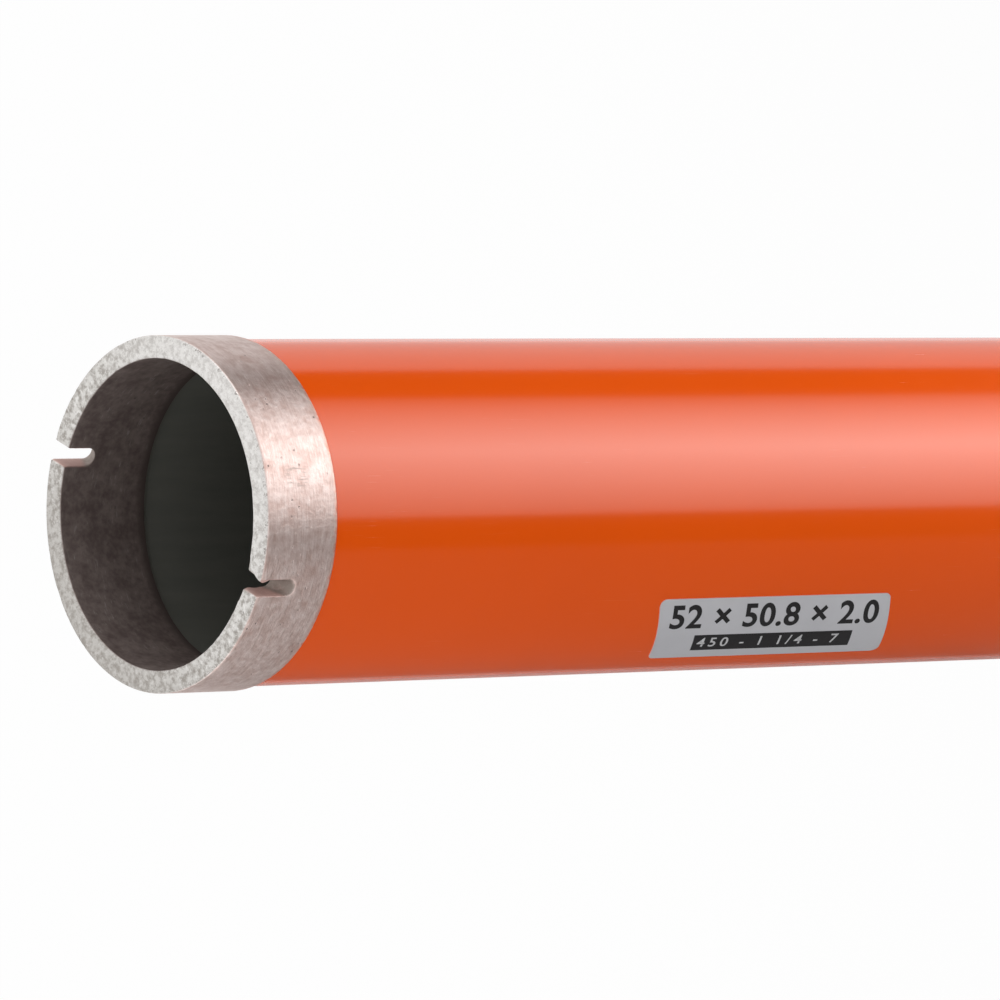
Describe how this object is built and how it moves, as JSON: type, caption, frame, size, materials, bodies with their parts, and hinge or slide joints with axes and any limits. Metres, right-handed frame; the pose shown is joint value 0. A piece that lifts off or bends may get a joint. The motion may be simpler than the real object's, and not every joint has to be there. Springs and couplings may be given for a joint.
{
  "type": "diamond core bit",
  "caption": "Wet core bit: a slotted diamond crown on a thin painted steel tube, with a female-threaded hub and a foil size label.",
  "frame": {"origin": "centre of the hub's end face, which the bit stands on", "axes": "+Z along the drilling axis from the hub to the crown, +X towards the first water slot"},
  "size_m": [0.052, 0.052, 0.45],
  "materials": {
    "sintered_crown": "satin",
    "orange_paint": "gloss",
    "turned_steel": "satin",
    "foil_label": "satin"
  },
  "bodies": {
    "root": {"crown_ring": "sintered_crown", "core_tube": "orange_paint", "connector_hub": "turned_steel", "size_label": "foil_label"}
  },
  "joints": []
}
